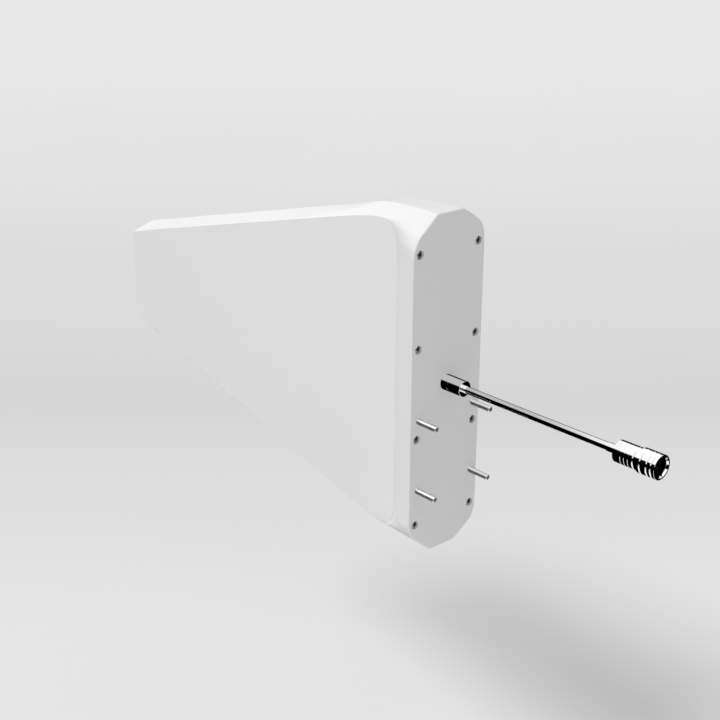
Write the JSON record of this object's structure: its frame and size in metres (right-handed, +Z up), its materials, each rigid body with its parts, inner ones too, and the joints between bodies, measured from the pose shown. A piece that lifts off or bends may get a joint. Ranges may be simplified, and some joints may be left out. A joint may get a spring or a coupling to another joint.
{
  "type": "log-periodic directional antenna",
  "caption": "Wedge-shaped plastic radome on a tall back plate with rear mounting studs, a row of dipoles inside and a stiff coaxial lead that ends in a threaded plug.",
  "frame": {"origin": "middle of the four mounting studs, on the back plate's outer face", "axes": "+Y is the direction the antenna looks in, from the back plate to the nose; +Z is up, along the plate's height; +X is the thickness of the wedge"},
  "size_m": [0.0658, 0.5349, 0.2444],
  "materials": {
    "white_shell": "satin",
    "white_plate": "satin",
    "black_rubber": "matt",
    "dark_screw": "satin",
    "stainless": "satin",
    "chrome": "polished",
    "aluminium": "satin",
    "brass": "satin",
    "nylon": "matt",
    "fluoropolymer": "matt"
  },
  "bodies": {
    "root": {"radome_shell": "white_shell", "back_plate": "white_plate", "perimeter_seal": "black_rubber", "cover_screws": "dark_screw", "mounting_studs": "stainless", "boom_bracket": "aluminium", "bracket_screws": "stainless", "feed_boom": "aluminium", "return_boom": "aluminium", "boom_spacers": "nylon", "front_support": "nylon", "feed_plug": "brass", "return_plug": "brass", "feed_insulator": "fluoropolymer", "feed_strap": "brass", "strap_screw": "stainless", "feed_line_outer": "chrome", "feed_line_dielectric": "fluoropolymer", "feed_line_core": "brass", "gland_body": "chrome", "gland_nut": "chrome", "gland_sleeve": "black_rubber", "crimp_ferrule": "chrome", "connector_rear_nut": "chrome", "connector_sleeve": "chrome", "connector_insulator": "fluoropolymer", "centre_contact": "brass", "dipole_01": "aluminium", "dipole_02": "aluminium", "dipole_03": "aluminium", "dipole_04": "aluminium", "dipole_05": "aluminium", "dipole_06": "aluminium", "dipole_07": "aluminium", "dipole_08": "aluminium", "dipole_09": "aluminium", "dipole_10": "aluminium", "dipole_11": "aluminium"}
  },
  "joints": []
}
